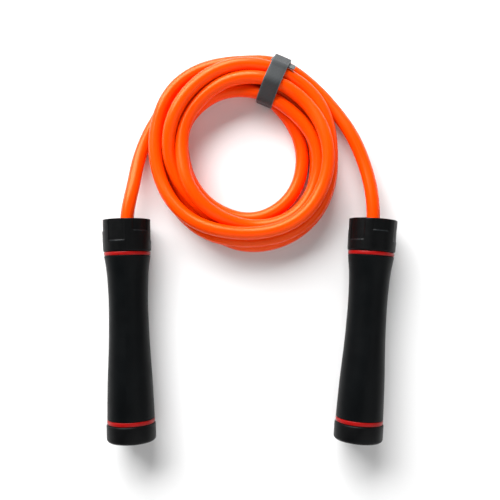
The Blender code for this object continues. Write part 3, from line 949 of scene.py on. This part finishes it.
def butt_cap_outline():
    """The butt cap in section, from the middle of its inner face round its edge to the middle of its end."""
    floor = HANDLE_LENGTH - BUTT_WALL
    edge = []
    for angle in np.radians(np.arange(0, 91, 10)):
        station = HANDLE_LENGTH - BUTT_EDGE_RADIUS * (1 - math.sin(angle))
        edge.append((station, BUTT_RADIUS - BUTT_EDGE_RADIUS * (1 - math.cos(angle))))
    return [
        (floor, BUTT_MIDDLE_RADIUS),
        (floor, SPIGOT_BORE_RADIUS),
        (BUTT_CAP_START, SPIGOT_BORE_RADIUS),
        *[(BUTT_CAP_START + past, BUTT_RADIUS - under) for past, under in BUTT_RIM],
        *edge,
        (HANDLE_LENGTH, BUTT_FACE_RADIUS),
        (HANDLE_LENGTH, BUTT_MIDDLE_RADIUS),
    ]


def add_handle_shells(side, materials):
    """What shows of a handle: its caps, grip and rings, each in place of its CAD piece."""
    upper = ring_outline(TOP_CAP_END + GAP, GRIP_START - GAP, UPPER_RING_RADIUS)
    lower = ring_outline(GRIP_END + GAP, BUTT_CAP_START - GAP, LOWER_RING_RADIUS)
    recess = recesses(RECESS_TURN[side])
    pieces = {
        "top_cap": turned("top_cap_shell", side, top_cap_outline(), TOP_CAP_COLUMNS, recess=recess),
        "grip": turned("grip_shell", side, grip_outline()),
        "upper_ring": turned("upper_ring_band", side, upper),
        "lower_ring": turned("lower_ring_band", side, lower),
        "butt_cap": turned("butt_cap_shell", side, butt_cap_outline(), closed=False),
    }
    for name, piece in pieces.items():
        key = {"upper_ring": "accent", "lower_ring": "accent", "grip": "grip"}.get(name, "cap")
        piece.data.materials.append(materials[key])
        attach(piece, f"handle_{side}")
        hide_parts(f"{name}_{side}")


# What the CAD keeps: the bearings and what holds the cord


def dress_internals(materials):
    """Gives each CAD piece that stays its material."""
    for name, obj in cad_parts.items():
        look = next((INTERNAL_LOOKS[start] for start in INTERNAL_LOOKS if name.startswith(start)), None)
        if look:
            obj.data.materials.clear()
            obj.data.materials.append(materials[look])


# The stage


def add_stage():
    """The floor that the rope lies on."""
    mesh = bpy.data.meshes.new("floor")
    corners = [(FLOOR_HALF * x, FLOOR_HALF * y, 0) for x, y in ((-1, -1), (1, -1), (1, 1), (-1, 1))]
    mesh.from_pydata(corners, [], [(0, 1, 2, 3)])
    floor = bpy.data.objects.new("floor", mesh)
    floor.data.materials.append(floor_material())
    bpy.context.scene.collection.objects.link(floor)


def add_softbox(name, place, width, height, power):
    """A rectangular light that points at the rope."""
    data = bpy.data.lights.new(name, "AREA")
    data.shape = "RECTANGLE"
    data.size = width
    data.size_y = height
    data.energy = power
    light = bpy.data.objects.new(name, data)
    bpy.context.scene.collection.objects.link(light)
    light.location = place
    light.rotation_euler = (Vector(LIGHT_TARGET) - Vector(place)).to_track_quat("-Z", "Y").to_euler()


def add_lights():
    """A studio that is dim overhead, with a broad key beyond the coil, and a larger and weaker fill on the
    handles' side."""
    world = bpy.data.worlds.new("studio")
    bpy.context.scene.world = world
    world.use_nodes = True
    direction = node(world, "ShaderNodeTexCoord").outputs["Generated"]
    height = node(world, "ShaderNodeSeparateXYZ", {"Vector": direction}).outputs["Z"]
    background = world.node_tree.nodes["Background"]
    background.inputs["Color"].default_value = (1, 1, 1, 1)
    strength = spread(world, height, SKY_AT_SIDES, SKY_OVERHEAD, start=0.0, end=SKY_DIM_FROM)
    connect(world, background, "Strength", strength)
    for softbox in SOFTBOXES:
        add_softbox(*softbox)


def add_camera():
    """The camera, which looks straight down."""
    data = bpy.data.cameras.new("eye")
    data.sensor_width = SENSOR_WIDTH
    data.lens = LENS
    data.shift_y = FRAME_SHIFT_Y
    camera = bpy.data.objects.new("eye", data)
    camera.location = EYE
    bpy.context.scene.collection.objects.link(camera)
    bpy.context.scene.camera = camera


def main():
    """Builds everything."""
    bpy.context.scene.view_settings.view_transform = "Standard"
    add_camera()
    materials = {
        "cord": cord_material(),
        "strap": strap_material(),
        "grip": grip_material(),
        "cap": cap_material(),
        "accent": accent_material(),
        **{key: metal_material(*look) for key, look in METALS.items()},
        "nylon": nylon_material(),
    }
    line = add_cord(materials["cord"])
    add_strap(line, materials["strap"])
    for side in SIDES:
        add_handle_shells(side, materials)
    dress_internals(materials)
    add_stage()
    add_lights()


main()
